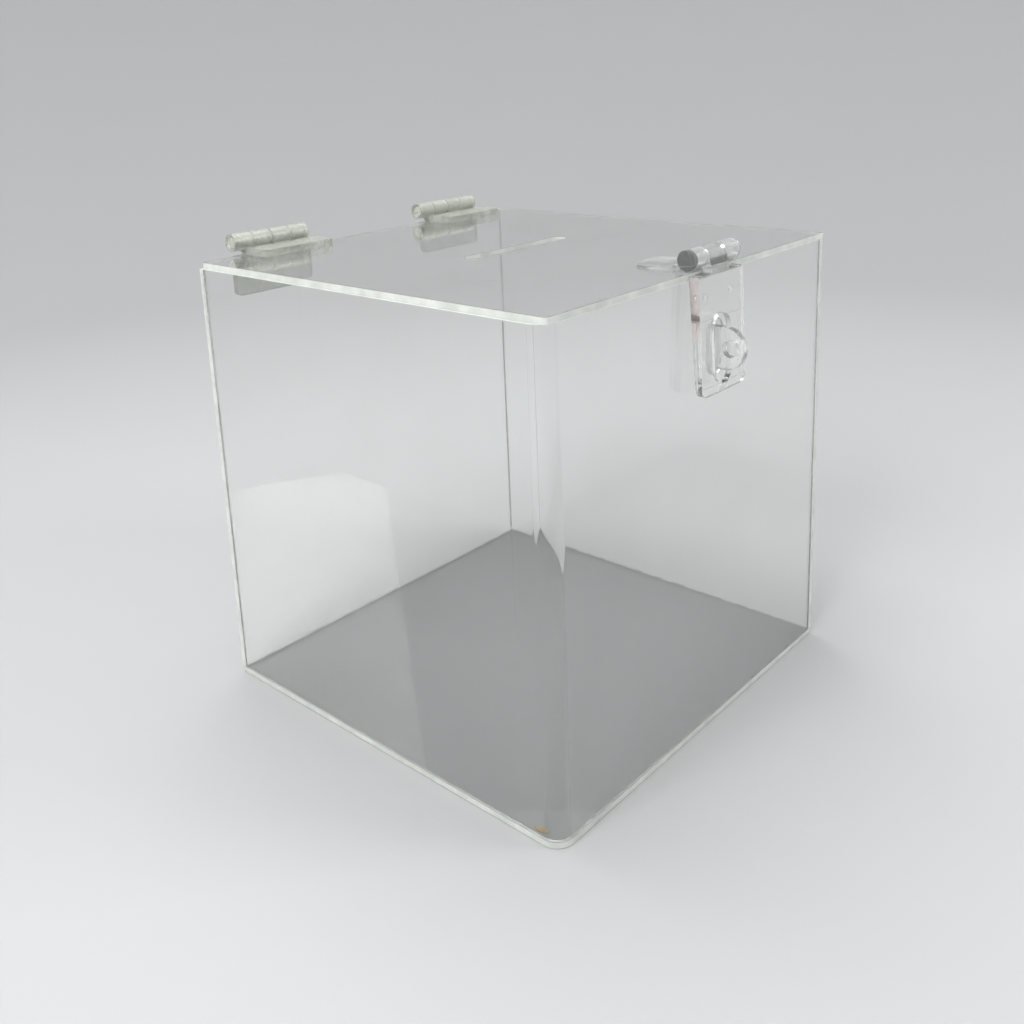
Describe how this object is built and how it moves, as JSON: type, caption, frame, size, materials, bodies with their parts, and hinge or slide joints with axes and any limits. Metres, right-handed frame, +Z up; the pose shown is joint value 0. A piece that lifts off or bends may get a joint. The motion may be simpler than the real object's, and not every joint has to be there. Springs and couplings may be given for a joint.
{
  "type": "ballot box",
  "caption": "Clear acrylic ballot box with a slotted lid on moulded hinges and a swing-over hasp that takes a padlock.",
  "frame": {"origin": "middle of the base plate's underside, on the table", "axes": "+Z up, X along the hasp wall, which faces -Y; the hinged wall faces +Y"},
  "size_m": [0.302, 0.3338, 0.3191],
  "materials": {
    "clear_sheet": "clear cast acrylic with sawn, slightly frosted edges",
    "hinge_moulding": "milky translucent moulded plastic",
    "hinge_pin": "milky translucent plastic rod",
    "hasp_moulding": "crystal clear moulded plastic",
    "hasp_pin": "crystal clear plastic rod with a turned head"
  },
  "bodies": {
    "box": {"base_plate": "clear_sheet", "bent_wall": "clear_sheet", "hinged_wall": "clear_sheet", "side_wall": "clear_sheet", "left_wall_leaf": "hinge_moulding", "right_wall_leaf": "hinge_moulding", "left_hinge_pin": "hinge_pin", "right_hinge_pin": "hinge_pin", "staple": "hasp_moulding"},
    "lid": {"lid_panel": "clear_sheet", "left_lid_leaf": "hinge_moulding", "right_lid_leaf": "hinge_moulding", "hasp_lid_tab": "hasp_moulding", "hasp_pin": "hasp_pin"},
    "strap": {"hasp_strap": "hasp_moulding"}
  },
  "joints": [
    {"name": "lid_swing", "type": "hinge", "parent": "box", "child": "lid", "pos_m": [0, 0.154, 0.3128], "axis": [-1, 0, 0], "range_deg": [0, 66]},
    {"name": "strap_swing", "type": "hinge", "parent": "lid", "child": "strap", "pos_m": [0.004, -0.149, 0.3116], "axis": [-1, 0, 0], "range_deg": [0, 244.5]}
  ],
  "couplings": [
    {"joint": "strap_swing", "follows": "lid_swing", "ratio": 3.7}
  ]
}
